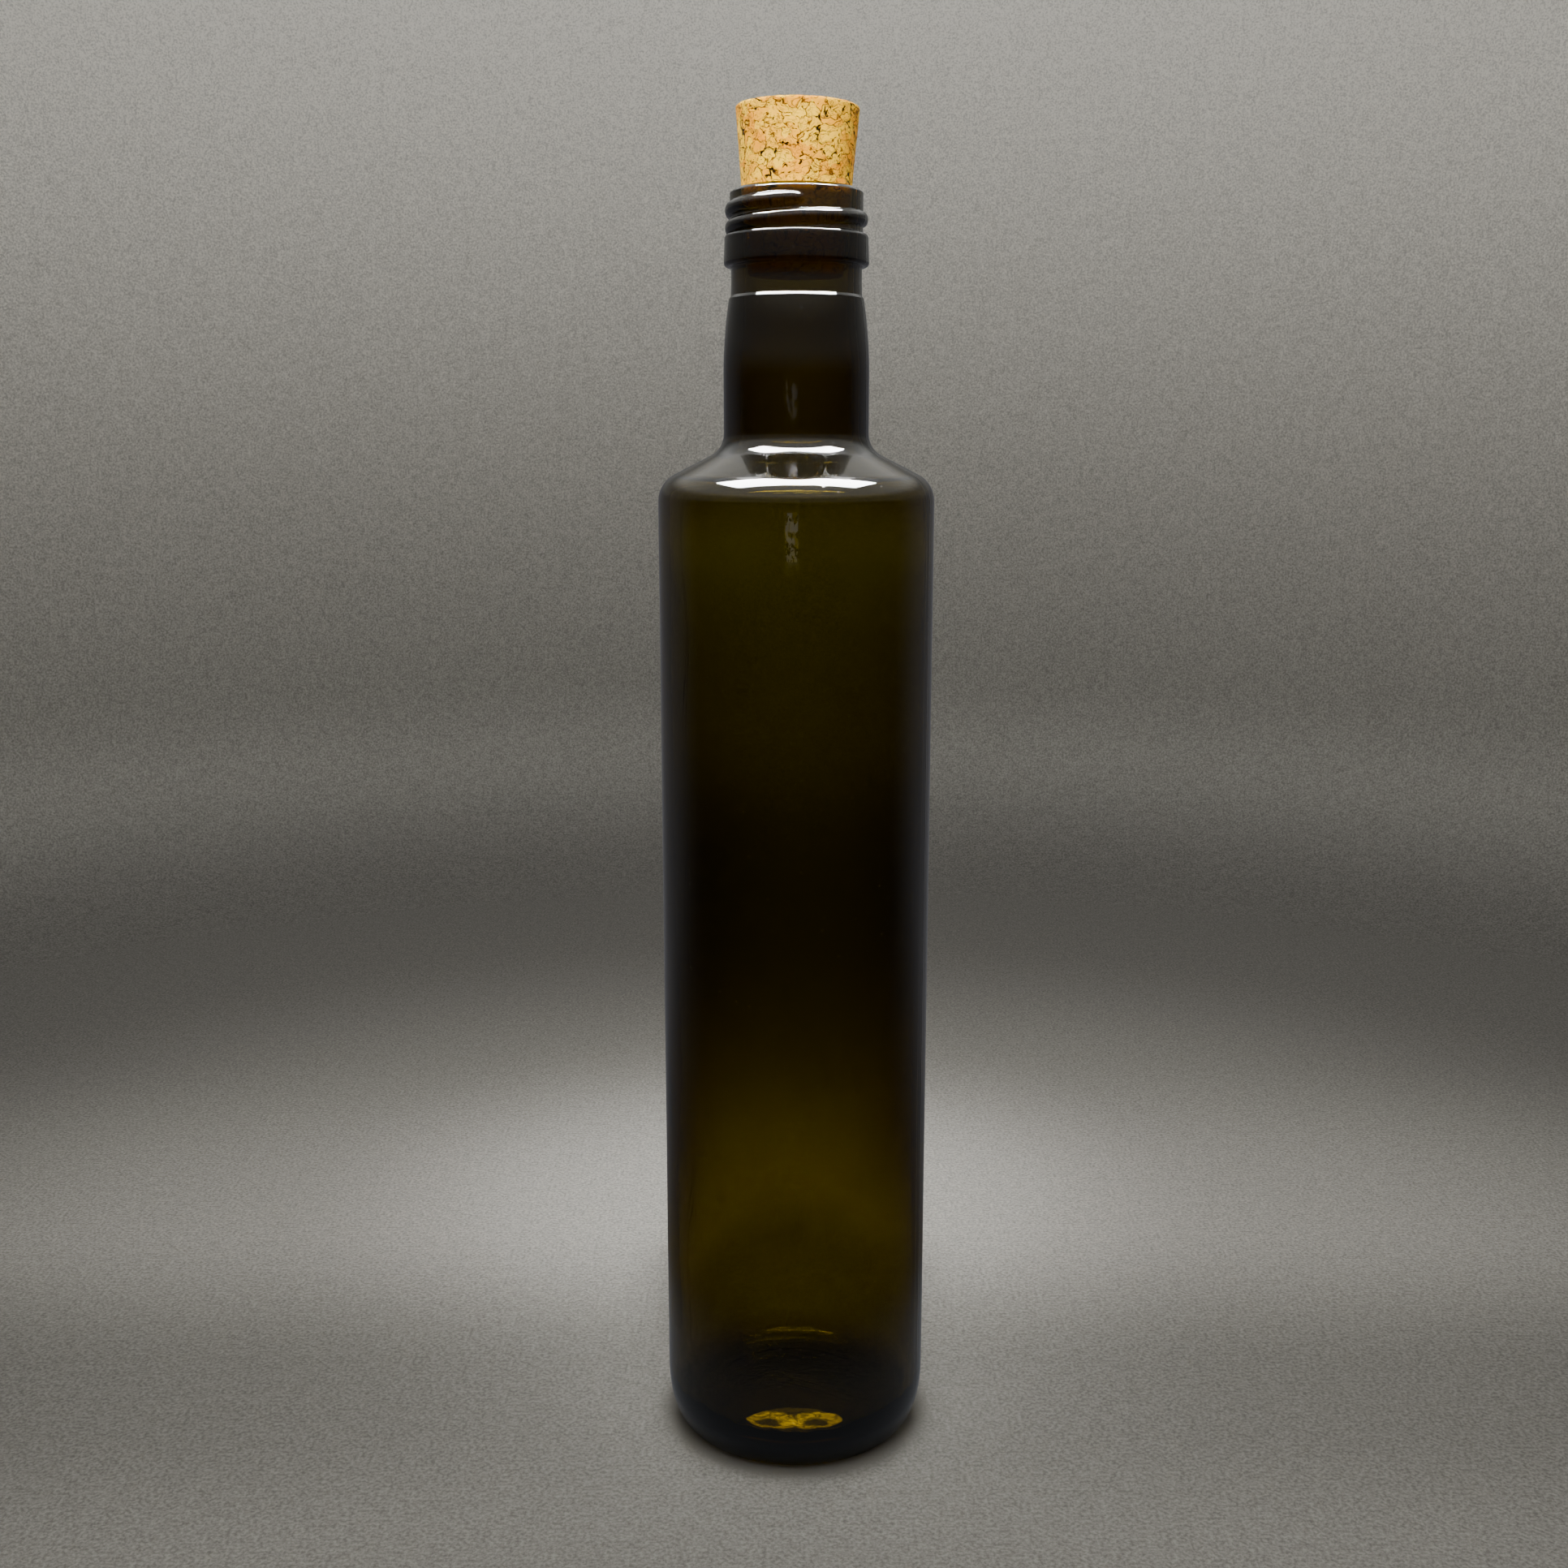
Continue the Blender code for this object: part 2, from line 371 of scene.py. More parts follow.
class Paint:
    """A material, a world or a light being painted with nodes."""

    def __init__(self, owner):
        owner.use_nodes = True
        self.tree = owner.node_tree
        self.tree.nodes.clear()

    def node(self, kind, settings, sockets):
        """Adds a node, makes its settings and then fills its sockets with values or links."""
        node = self.tree.nodes.new(kind)
        for name, value in settings.items():
            setattr(node, name, value)
        for name, value in sockets.items():
            self.fill(node.inputs[name], value)
        return Node(self, node)

    def fill(self, socket, value):
        if isinstance(value, Sum):
            self.tree.links.new(value.socket, socket)
        else:
            socket.default_value = value

    def maths(self, operation, *values):
        return self.node("ShaderNodeMath", {"operation": operation}, dict(enumerate(values))).out(0)

    def mix(self, share, first, second):
        """Two colours mixed by a share."""
        node = self.node("ShaderNodeMix", {"data_type": "RGBA"}, {0: share})
        self.fill(node.node.inputs[6], first)
        self.fill(node.node.inputs[7], second)
        return Sum(self, node.node.outputs[2])

    def place(self, scale=(1.0, 1.0, 1.0)):
        """Object coordinates, stretched."""
        coordinates = self.node("ShaderNodeTexCoord", {}, {}).out("Object")
        return self.stretched(coordinates, scale)

    def stretched(self, vector, scale):
        return self.node("ShaderNodeMapping", {}, {"Vector": vector, "Scale": scale}).out("Vector")

    def axes(self, vector):
        """The X, Y and Z of a place."""
        parts = self.node("ShaderNodeSeparateXYZ", {}, {"Vector": vector})
        return parts.out("X"), parts.out("Y"), parts.out("Z")

    def noise(self, vector, scale, detail=2.0, roughness=0.5, distortion=0.0):
        sockets = {
            "Vector": vector, "Scale": scale, "Detail": detail,
            "Roughness": roughness, "Distortion": distortion,
        }
        return self.node("ShaderNodeTexNoise", {}, sockets)

    def clouds(self, vector, scale, detail=2.0, roughness=0.5, distortion=0.0):
        """Noise as one number between 0 and 1."""
        return self.noise(vector, scale, detail, roughness, distortion).out(0)

    def cells(self, vector, scale, feature="F1"):
        return self.node("ShaderNodeTexVoronoi", {"feature": feature}, {"Vector": vector, "Scale": scale})

    def borders(self, vector, scale):
        """How far a place is from the border between two cells."""
        return self.cells(vector, scale, "DISTANCE_TO_EDGE").out("Distance")

    def bend(self, vector, scale, reach):
        """A place shifted to and fro by noise, so that what is drawn there wavers."""
        drift = self.noise(vector, scale).out("Color")
        sockets = {0: drift, 1: (0.5, 0.5, 0.5)}
        centred = self.node("ShaderNodeVectorMath", {"operation": "SUBTRACT"}, sockets)
        sockets = {0: centred.out("Vector"), 1: (reach, reach, reach), 2: vector}
        return self.node("ShaderNodeVectorMath", {"operation": "MULTIPLY_ADD"}, sockets).out("Vector")

    def ramp(self, value, stops):
        """A colour ramp with stops (place, colour)."""
        ramp = self.node("ShaderNodeValToRGB", {}, {"Fac": value})
        elements = ramp.node.color_ramp.elements
        while len(elements) < len(stops):
            elements.new(1.0)
        for element, (place, colour) in zip(elements, stops):
            element.position = place
            element.color = solid(colour)
        return ramp.out("Color")

    def mirrored(self):
        """1 for a ray thrown back by a shiny surface, 0 for any other."""
        path = self.node("ShaderNodeLightPath", {}, {})
        return path.out("Is Glossy Ray") * (1.0 - path.out("Is Transmission Ray"))

    def bump(self, height, distance):
        sockets = {"Height": height, "Distance": distance, "Strength": 1.0}
        return self.node("ShaderNodeBump", {}, sockets).out("Normal")


def solid(colour):
    """A colour with nothing see-through."""
    return (*colour, 1.0)


def rounded(corners, steps):
    """Points (r, z) along a line of corners (r, z, fillet radius), each rounded by its radius."""
    points = []
    for index, (r, z, radius) in enumerate(corners):
        here = Vector((r, z))
        if radius == 0.0:
            points.append(here)
            continue
        before = (Vector(corners[index - 1][:2]) - here).normalized()
        after = (Vector(corners[index + 1][:2]) - here).normalized()
        half = before.angle(after) / 2
        tangent = radius / math.tan(half)
        centre = here + (before + after).normalized() * radius / math.sin(half)
        first = here + before * tangent - centre
        turn = first.angle_signed(here + after * tangent - centre)
        for step in range(steps + 1):
            arm = first.copy()
            arm.rotate(Matrix.Rotation(-turn * step / steps, 2))
            points.append(centre + arm)
    return points


def divided(points, longest):
    """The same line with its long straights cut into steps no longer than this."""
    result = [points[0]]
    for before, after in zip(points, points[1:]):
        count = max(1, math.ceil((after - before).length / longest))
        result += [before.lerp(after, step / count) for step in range(1, count + 1)]
    return result


def heel_curve(body_radius):
    """The quarter ellipse from the bearing ring up to the straight body."""
    inset = body_radius - RING_OUTER
    points = []
    for step in range(1, HEEL_STEPS + 1):
        angle = math.pi / 2 * step / HEEL_STEPS
        r = RING_OUTER + inset * math.sin(angle)
        points.append(Vector((r, HEEL_HEIGHT * (1 - math.cos(angle)))))
    return points


def neck_flare(neck_radius):
    """The arc by which the neck draws in from its straight part to the crease."""
    rise = CREASE_HEIGHT - NECK_FLARE_BOTTOM
    inset = neck_radius - COLLAR_RADIUS - CREASE_STEP
    radius = (rise * rise + inset * inset) / (2 * inset)
    points = []
    for step in range(OUTER_STEPS + 1):
        z = rise * step / OUTER_STEPS
        r = neck_radius - radius + math.sqrt(radius * radius - z * z)
        points.append(Vector((r, NECK_FLARE_BOTTOM + z)))
    return points


def push_up():
    """The shallow dome under the bottle, from its centre out to the bearing ring."""
    points = []
    for step in range(OUTER_STEPS + 1):
        share = step / OUTER_STEPS
        z = PUSH_UP_DEPTH * (0.5 + 0.5 * math.cos(math.pi * share))
        points.append(Vector((RING_INNER * share, z)))
    return points


def shoulder_corner(settings, inset):
    """Where the lines of the body and the shoulder meet, on a surface this far inside the glass."""
    half_turn = (math.pi / 2 - SHOULDER_SLOPE) / 2
    z = BODY_TOP + (SHOULDER_FILLET - inset) * math.tan(half_turn)
    return settings.body_radius - inset, z


def neck_corner(corner, radius):
    """Where the line of the shoulder meets that of the neck."""
    return radius, corner[1] + (corner[0] - radius) * math.tan(SHOULDER_SLOPE)


def outside_of_glass(settings):
    """The outer line, from the centre of the push-up over the lip and down to the throat."""
    corner = shoulder_corner(settings, 0.0)
    edge_radius = COLLAR_RADIUS + CREASE_STEP
    edge_top = CREASE_HEIGHT + CREASE_EDGE
    slope_rise = (CREASE_STEP - CREASE_DRAFT - CREASE_TAIL) / math.tan(CREASE_SLOPE)
    top_of_thread = LIP_TOP - LIP_OUTER_CORNER - FINISH_HEAD
    points = push_up()
    points += divided([Vector((RING_INNER, 0.0)), Vector((RING_OUTER, 0.0))], RING_STRAIGHT)[1:]
    points += heel_curve(settings.body_radius)
    points += divided(rounded([
        (settings.body_radius, HEEL_HEIGHT + LEAD_IN, 0.0),
        (*corner, SHOULDER_FILLET),
        (*neck_corner(corner, settings.neck_radius), NECK_FILLET),
        (settings.neck_radius, NECK_FLARE_BOTTOM - LEAD_IN, 0.0),
    ], OUTER_STEPS), BODY_STRAIGHT)
    points += divided(neck_flare(settings.neck_radius), FLARE_STRAIGHT)
    points += rounded([
        (edge_radius, CREASE_HEIGHT, 0.0),
        (edge_radius - CREASE_DRAFT, edge_top, CREASE_ROUND),
        (COLLAR_RADIUS + CREASE_TAIL, edge_top + slope_rise, CREASE_ROUND),
        (COLLAR_RADIUS, CREASE_HEIGHT + CREASE_TAIL_LENGTH, 0.0),
        (COLLAR_RADIUS, BEAD_BOTTOM, COLLAR_FILLET),
        (BEAD_RADIUS_LOW, BEAD_BOTTOM, BEAD_CORNER),
        (BEAD_RADIUS_HIGH, BEAD_TOP, BEAD_CORNER),
        (FINISH_RADIUS, BEAD_TOP, FINISH_FILLET),
        (FINISH_RADIUS, BEAD_TOP + FINISH_FOOT, 0.0),
    ], FINISH_STEPS)
    points += divided([points[-1], Vector((FINISH_RADIUS, top_of_thread))], THREAD_STRAIGHT)[1:]
    points += rounded([
        (FINISH_RADIUS, top_of_thread, 0.0),
        (FINISH_RADIUS, LIP_TOP, LIP_OUTER_CORNER),
        (MOUTH_BORE, LIP_TOP, LIP_INNER_CORNER),
        (THROAT_BORE, THROAT_TOP, 0.0),
        (THROAT_BORE, THROAT_BOTTOM, 0.0),
    ], LIP_STEPS)[1:]
    return points


def inside_of_glass(settings):
    """The inner line, from the top of the neck's bore down to the centre of the floor."""
    corner = shoulder_corner(settings, settings.wall)
    inside = settings.body_radius - settings.wall
    points = rounded([
        (NECK_BORE, NECK_BORE_TOP, 0.0),
        (*neck_corner(corner, NECK_BORE), NECK_FILLET + settings.wall),
        (*corner, SHOULDER_FILLET - settings.wall),
        (inside, FLOOR_EDGE, FLOOR_CORNER),
        (inside - FLOOR_CORNER - FLOOR_RIM_WIDTH, FLOOR_EDGE + FLOOR_RIM_RISE, 0.0),
        (0.0, FLOOR_CENTRE, 0.0),
    ], INNER_STEPS)
    return divided(points, INNER_STRAIGHT)


def select_nothing():
    for item in list(bpy.context.selected_objects):
        item.select_set(False)


def turned(name, profile, sides):
    """A round body turned like wood on a lathe: its outline is drawn point by point and spun."""
    select_nothing()
    bpy.ops.mesh.primitive_plane_add(size=MM)
    piece = bpy.context.object
    piece.name = piece.data.name = name
    bpy.ops.object.mode_set(mode="EDIT")
    bpy.ops.mesh.select_all(action="SELECT")
    bpy.ops.mesh.merge(type="CENTER")
    bpy.ops.transform.translate(value=(profile[0][0], 0.0, profile[0][1]))
    for before, after in zip(profile, profile[1:]):
        step = after - before
        if step.length < SAME_PLACE:
            continue
        move = {"value": (step[0], 0.0, step[1])}
        bpy.ops.mesh.extrude_region_move(TRANSFORM_OT_translate=move)
    bpy.ops.mesh.select_all(action="SELECT")
    bpy.ops.mesh.spin(
        steps=sides, angle=2 * math.pi, center=(0.0, 0.0, 0.0), axis=(0.0, 0.0, 1.0),
        use_auto_merge=True)
    bpy.ops.mesh.select_all(action="SELECT")
    bpy.ops.mesh.remove_doubles(threshold=MERGE_REACH)
    bpy.ops.mesh.normals_make_consistent(inside=False)
    bpy.ops.object.mode_set(mode="OBJECT")
    bpy.ops.object.shade_smooth()
    return piece


def points_of(piece):
    """Every point of a piece as three rows of numbers."""
    flat = np.empty(len(piece.data.vertices) * 3)
    piece.data.vertices.foreach_get("co", flat)
    return flat.reshape(-1, 3).T


def put_points(piece, rows):
    piece.data.vertices.foreach_set("co", rows.T.ravel())
    piece.data.update()


def push_out(piece, distance):
    """Moves every point of a piece away from the Z axis by its own distance."""
    x, y, z = points_of(piece)
    radius = np.maximum(np.hypot(x, y), LEAST_RADIUS)
    grown = (radius + distance) / radius
    put_points(piece, np.array([x * grown, y * grown, z]))


def thread_ridge(settings, azimuth, z):
    """How far the right-handed thread stands out at each point of the finish."""
    ridge = np.zeros_like(z)
    around = np.mod(FRONT - azimuth, 2 * math.pi)
    for turns in (-1, 0, 1, 2):
        turn = around + 2 * math.pi * turns - THREAD_START
        drop = settings.thread_pitch * (turn + THREAD_START) / (2 * math.pi)
        run = np.clip(np.minimum(turn, THREAD_SWEEP - turn) / THREAD_FADE, 0.0, 1.0)
        size = np.sqrt(1 - (1 - run) ** 2)
        half_height = THREAD_HALF_HEIGHT * (THREAD_END_HEIGHT + (1 - THREAD_END_HEIGHT) * size)
        across = (z - THREAD_START_HEIGHT + drop) / half_height
        rise = np.sqrt(np.clip(1 - across**2, 0.0, 1.0))
        ridge = np.maximum(ridge, rise * size * settings.thread_depth)
    return ridge


def waves(seed, azimuth, z, count, rounds, tall):
    """Slow, seeded unevenness over a round wall, between about -1 and 1."""
    dice = random.Random(seed)
    total = np.zeros_like(z)
    for _ in range(count):
        turns = dice.randint(*rounds)
        length = dice.uniform(*tall)
        total += np.sin(turns * azimuth + 2 * math.pi * z / length + dice.uniform(0, 2 * math.pi))
    return total / math.sqrt(count)


def uneven(sets, azimuth, z):
    """Several sets of waves added up."""
    return sum(
        depth * waves(seed, azimuth, z, count, rounds, tall)
        for depth, seed, count, rounds, tall in sets)


def work_glass(piece, settings):
    """Raises the thread and makes the blown walls uneven and thicker or thinner by height."""
    x, y, z = points_of(piece)
    radius = np.hypot(x, y)
    azimuth = np.arctan2(y, x)
    inside = settings.body_radius - settings.wall
    on_finish = (radius > FINISH_RADIUS - FINISH_MARGIN) & (z > BEAD_TOP - BEAD_MARGIN)
    on_finish = on_finish & (z < LIP_TOP - LIP_MARGIN)
    threaded = np.maximum(radius, FINISH_RADIUS + thread_ridge(settings, azimuth, z))
    moved = np.where(on_finish, threaded - radius, 0.0)
    over_heel = np.clip((z - WALL_BOTTOM) / WALL_BLEND_LOW, 0.0, 1.0)
    under_shoulder = np.clip((BODY_TOP - z) / WALL_BLEND_HIGH, 0.0, 1.0)
    outer = radius > settings.body_radius - settings.wall / 2
    inner = np.abs(radius - inside) < WALL_MARGIN
    skin = uneven(OUTER_WAVES, azimuth, z)
    core = uneven(INNER_WAVES, azimuth, z) - np.interp(z, WALL_HEIGHTS, WALL_GAINS)
    moved += (np.where(outer, skin, 0.0) + np.where(inner, core, 0.0)) * over_heel * under_shoulder
    floor_low, floor_high = FLOOR_HEIGHTS
    on_floor = (z > floor_low) & (z < floor_high) & (radius > FLOOR_HEART)
    on_floor = on_floor & (radius < inside + FLOOR_MARGIN)
    moved += np.where(on_floor, uneven(FLOOR_WAVES, azimuth, z), 0.0)
    push_out(piece, moved)


def glass_material(settings):
    """Dark olive bottle glass: its colour is in its depth, its skin has faint moulding marks."""
    material = bpy.data.materials.new("olive_bottle_glass")
    paint = Paint(material)
    place = paint.place()
    x, y, z = paint.axes(place)
    radius = (x * x + y * y).root()
    off_seam = (x * math.sin(SEAM_AZIMUTH) - y * math.cos(SEAM_AZIMUTH)).size()
    seam = off_seam.fading(*SEAM_WIDTHS)
    skin = paint.clouds(paint.place((1.0, 1.0, 0.12)), 160.0, detail=3.0)
    ticks = (y.maths("ARCTAN2", x) * HEEL_TICKS).maths("SINE").between(0.1, 0.8)
    ticks = ticks * radius.within(*TICK_RADII) * z.fading(*TICK_HEIGHTS)
    stipple = paint.clouds(place, 330.0) * radius.fading(*PUSH_UP_EDGE) * z.fading(*PUSH_UP_ROOF)
    height = seam * 0.6 + skin * 0.12 + ticks * 2.0 + stipple * 2.2
    dust = paint.cells(place, 260.0).out("Distance").fading(0.05, 0.11)
    smears = paint.clouds(paint.place((1.0, 1.0, 0.35)), 45.0, 4.0, 0.6).between(0.45, 0.8)
    wrinkles = paint.clouds(paint.place((1.0, 1.0, 0.4)), 1100.0, 3.0, 0.6).between(0.42, 0.54)
    streak = (x + STREAK_SIDE).size().fading(*STREAK_WIDTHS) * y.fading(*STREAK_DEPTHS)
    streak = streak * (z.within(*STREAK_ON_BODY) + z.within(*STREAK_ON_NECK) * 0.7)
    shader = paint.node("ShaderNodeBsdfPrincipled", {}, {
        "Base Color": (0.96, 0.97, 0.90, 1.0),
        "Roughness": smears * 0.02 + dust * 0.2 + streak * wrinkles * 0.34,
        "IOR": 1.52,
        "Transmission Weight": 1.0,
        "Normal": paint.bump(height, GLASS_RELIEF),
    })
    depth = paint.node("ShaderNodeVolumeAbsorption", {}, {
        "Color": solid(settings.tint),
        "Density": settings.depth_of_tint,
    })
    paint.node("ShaderNodeOutputMaterial", {}, {
        "Surface": shader.out("BSDF"),
        "Volume": depth.out("Volume"),
    })
    return material


def cork_material(settings):
    """Pressed cork granules: tan and cream grains, fine brown crevices and dark flecks of bark, with
    painted shade on the part inside the neck.
    """
    material = bpy.data.materials.new("pressed_cork")
    paint = Paint(material)
    place = paint.place()
    bent = paint.bend(paint.bend(place, 210.0, 5.2 * MM), 800.0, 1.6 * MM)
    flat = paint.stretched(bent, GRANULE_LAY)
    edge = paint.borders(flat, GRANULES)

    cell_colours = paint.cells(flat, GRANULES).out("Color")
    lots = paint.node("ShaderNodeSeparateColor", {}, {"Color": cell_colours}).out("Red")
    mottle = paint.clouds(place, 1300.0, 4.0, 0.65)
    tone = (lots * 0.7 + paint.clouds(place, 170.0) * 1.1 + mottle * 0.5 - 0.65).clamped()
    middle = tuple((a + b) / 2 for a, b in zip(settings.pale, settings.warm))
    colour = paint.ramp(tone, [(0.15, settings.pale), (0.5, middle), (0.85, settings.warm)])

    breaks = paint.clouds(place, 480.0, 3.0, 0.65).between(0.40, 0.52)
    crevice = edge.fading(0.01, 0.062) * breaks
    wisps = (paint.clouds(flat, 520.0, 3.0, 0.6) - 0.5).size().fading(0.002, 0.023)
    wisps = wisps * paint.clouds(place, 350.0).between(0.44, 0.54)
    fine = paint.borders(flat, CRUMBS).fading(0.0, 0.075)
    fine = fine * paint.clouds(place, 390.0).between(0.42, 0.54)
    lines = (crevice * 0.95 + fine * 0.55 + wisps * 0.75).clamped()
    colour = paint.mix(lines, colour, solid(settings.crevice))

    flecks = paint.clouds(flat, 900.0, distortion=0.8).between(0.655, 0.672)
    gaps = edge.fading(0.02, 0.11) * paint.clouds(place, 330.0).between(0.575, 0.62)
    bark = (flecks * 0.95 + gaps).clamped()
    colour = paint.mix(bark, colour, solid(settings.bark))

    # Painted shade on the cork inside the neck, below these heights
    shaded_in_neck = paint.mix(NECK_SHADE_SHARE, colour, solid(settings.neck_shade))
    colour = paint.mix(paint.axes(place)[2].between(*NECK_SHADE_HEIGHTS), shaded_in_neck, colour)
    height = 0.5 - crevice * 0.5 - fine * 0.25 - wisps * 0.25 + mottle * 0.3 - bark * 0.8
    shader = paint.node("ShaderNodeBsdfPrincipled", {}, {
        "Base Color": colour,
        "Roughness": 0.78 + mottle * 0.15,
        "Normal": paint.bump(height, CORK_RELIEF),
        "Specular IOR Level": 0.0,
        "Sheen Weight": 0.12,
        "Sheen Roughness": 0.3,
        "Sheen Tint": (1.0, 0.80, 0.50, 1.0),
    })
    paint.node("ShaderNodeOutputMaterial", {}, {"Surface": shader.out("BSDF")})
    return material


def floor_material(colour):
    """Matte paper with painted light and shade: a painted pool of light behind the bottle, painted shade
    in front of it, and painted light high up on the backdrop. Shiny pieces see a plain room in its place.
    """
    material = bpy.data.materials.new("pale_paper")
    paint = Paint(material)
    place = paint.place()
    x, y, z = paint.axes(place)
    reach = (x * x + y * y).root()
    # Painted light and shade: a pool of light behind the bottle, shade in front and far out, more light
    # up the backdrop
    tone = reach.stepped(*PAINTED_LIGHT_BY_REACH) * y.stepped(*PAINTED_LIGHT_BY_DEPTH) + z.stepped(*PAINTED_LIGHT_BY_HEIGHT)
    tooth = paint.clouds(place, 1100.0, 3.0, 0.7).between(0.3, 0.7)
    flock = paint.clouds(place, 260.0).between(0.3, 0.7)
    grain = tooth * 0.62 + flock * 0.10 - 0.36
    tone = tone * (1.0 + grain * reach.between(*GRAIN_START))
    shade = paint.mix(tone, (0.0, 0.0, 0.0, 1.0), solid(colour))
    paper = paint.node("ShaderNodeBsdfDiffuse", {}, {"Color": shade})
    room = paint.mix(y.between(*FRONT_TO_BACK), solid(ROOM_FRONT), solid(ROOM_BACK))
    room = paint.mix(reach.between(*NEAR_TO_FAR), solid(ROOM_NEAR), room)
    room = paint.mix(z.between(*FLOOR_TO_WALL), room, solid(ROOM_WALL))
    room = paint.mix(z.between(*WALL_TO_TOP), room, solid(ROOM_TOP))
    lit_room = paint.node("ShaderNodeEmission", {}, {"Color": room})
    seen = paint.node("ShaderNodeMixShader", {}, {
        0: paint.mirrored() * reach.between(*UNDER_BOTTLE),
        1: paper.out("BSDF"),
        2: lit_room.out("Emission"),
    })
    paint.node("ShaderNodeOutputMaterial", {}, {"Surface": seen.out("Shader")})
    material.cycles.emission_sampling = "NONE"
    return material


def wear(piece, material):
    piece.data.materials.clear()
    piece.data.materials.append(material)


def hang(name, data, place, aim):
    """Puts a lamp in its place, facing a point."""
    lamp = bpy.data.objects.new(name, data)
    lamp.location = place
    lamp.rotation_euler = (Vector(aim) - Vector(place)).to_track_quat("-Z", "Y").to_euler()
    bpy.context.scene.collection.objects.link(lamp)
    return lamp


def area_light(name, place, aim, size, power, diffuse=True, glossy=True, transmission=True):
    """A rectangular soft light, and which kinds of ray meet it."""
    data = bpy.data.lights.new(name, "AREA")
    data.shape = "RECTANGLE"
    data.size, data.size_y = size
    data.energy = power
    lamp = hang(name, data, place, aim)
    lamp.visible_diffuse = diffuse
    lamp.visible_glossy = glossy
    lamp.visible_transmission = transmission
    return lamp


def spot_light(name, place, aim, radius, beam, power):
    """A round lamp whose beam falls off softly to its edge."""
    data = bpy.data.lights.new(name, "SPOT")
    data.spot_size = beam
    data.spot_blend = 1.0
    data.shadow_soft_size = radius
    data.energy = power
    return hang(name, data, place, aim)


class BOTTLE_OT_stage(bpy.types.Operator):
    """Makes the pale floor with its raised backdrop, the soft lights and the camera"""

    bl_idname = "bottle.stage"
    bl_label = "Stage"

    def execute(self, context):
        settings = context.scene.bottle_stage
        self.make_floor(settings)
        self.make_lights()
        self.make_cork_lights()
        self.make_glow()
        self.make_world(context)
        self.make_camera(context, settings)
        return {"FINISHED"}

    def make_floor(self, settings):
        """A round floor that sweeps up into a wall all round."""
        reach = settings.floor_radius
        profile = divided([Vector((0.0, 0.0)), Vector((reach, 0.0))], FLOOR_STRAIGHT)
        for step in range(1, SWEEP_STEPS + 1):
            angle = math.pi / 2 * step / SWEEP_STEPS
            r = reach + SWEEP_RADIUS * math.sin(angle)
            profile.append(Vector((r, SWEEP_RADIUS * (1 - math.cos(angle)))))
        wall_top = Vector((reach + SWEEP_RADIUS, BACKDROP_HEIGHT))
        profile += divided([profile[-1], wall_top], BACKDROP_STRAIGHT)[1:]
        floor = turned("floor", profile, FLOOR_SIDES)
        floor.location.z = -FLOOR_DROP
        wear(floor, floor_material(settings.paper))

    def make_lights(self):
        """Soft light from above, and lamps that only draw lines in the glass."""
        area_light(
            "overhead", place=(0.0, 0.25, 0.90), aim=(0.0, 0.25, 0.0),
            size=(0.5, 0.3), power=2.65)
        area_light(
            "front_fill", place=(0.0, -0.35, 0.75), aim=(0.0, -0.05, 0.0),
            size=(0.4, 0.3), power=0.8, glossy=False, transmission=False)
        area_light(
            "glint_card", place=(0.0, 0.0, 0.95), aim=(0.0, 0.0, 0.0),
            size=(1.1, 0.45), power=270.0, diffuse=False, transmission=False)
        area_light(
            "gold_line", place=(0.0, -0.26, 0.93), aim=(0.0, -0.26, 0.0),
            size=(0.9, 0.05), power=85.0, diffuse=False, glossy=False)
        area_light(
            "gold_thread", place=(0.0, -0.42, 0.93), aim=(0.0, -0.42, 0.0),
            size=(0.5, 0.025), power=40.0, diffuse=False, glossy=False)
        strip = area_light(
            "side_strip", place=(0.42, 0.46, 0.31), aim=(0.0, 0.0, 0.31),
            size=(0.03, 0.38), power=0.2, diffuse=False, transmission=False)
        strip.visible_camera = False
        pool = spot_light(
            "pool_of_light", place=(0.0, -0.22, 0.92), aim=(-0.01, 0.125, 0.0),
            radius=0.04, beam=math.radians(15.0), power=24.0)
        pool.visible_glossy = False

    def make_cork_lights(self):
        """Two lamps that light the cork alone."""
        lit = bpy.data.collections.new("lit_cork")
        for name, y, power in (("cork_front", -0.55, 27.0), ("cork_back", 0.30, 12.0)):
            lamp = area_light(
                name, place=(-0.08, y, 0.70), aim=(0.0, 0.0, 0.285),
                size=(0.8, 0.15), power=power, transmission=False)
            lamp.light_linking.receiver_collection = lit

    def make_glow(self):
        """Light caught in the base: two bright rings that meet, seen through the heel's glass."""
        above = GLOW_PLACE + Vector((0.0, 0.0, 1.0))
        glow = area_light("base_glow", GLOW_PLACE, above, GLOW_SIZE, power=0.0062, diffuse=False)
        glow.data.shape = "ELLIPSE"
        paint = Paint(glow.data)
        where = paint.bend(paint.node("ShaderNodeNewGeometry", {}, {}).out("Parametric"), 7.0, 0.16)
        across, along = (part - 0.5 for part in paint.axes(where)[:2])
        aside = across.size() - 0.24
        off_ring = (aside * aside + along * along * 0.5).root() - 0.2
        ring = off_ring.size().fading(0.02, 0.10)
        heart = (across * across + along * along).root().fading(0.06, 0.2)
        grit = paint.clouds(where, 22.0, 3.0, 0.6).between(0.35, 0.65)
        strength = (ring + heart * 0.8 + 0.12) * (0.25 + grit * 1.1)
        light = paint.node("ShaderNodeEmission", {}, {"Strength": strength})
        paint.node("ShaderNodeOutputLight", {}, {"Surface": light.out("Emission")})

    def make_world(self, context):
        """A dim even room, which shiny pieces see much brighter."""
        world = bpy.data.worlds.new("soft_room")
        context.scene.world = world
        paint = Paint(world)
        shade = paint.node("ShaderNodeBackground", {}, {
            "Color": (0.96, 0.98, 1.0, 1.0),
            "Strength": 0.13 + paint.mirrored() * 1.4,
        })
        paint.node("ShaderNodeOutputWorld", {}, {"Surface": shade.out("Background")})

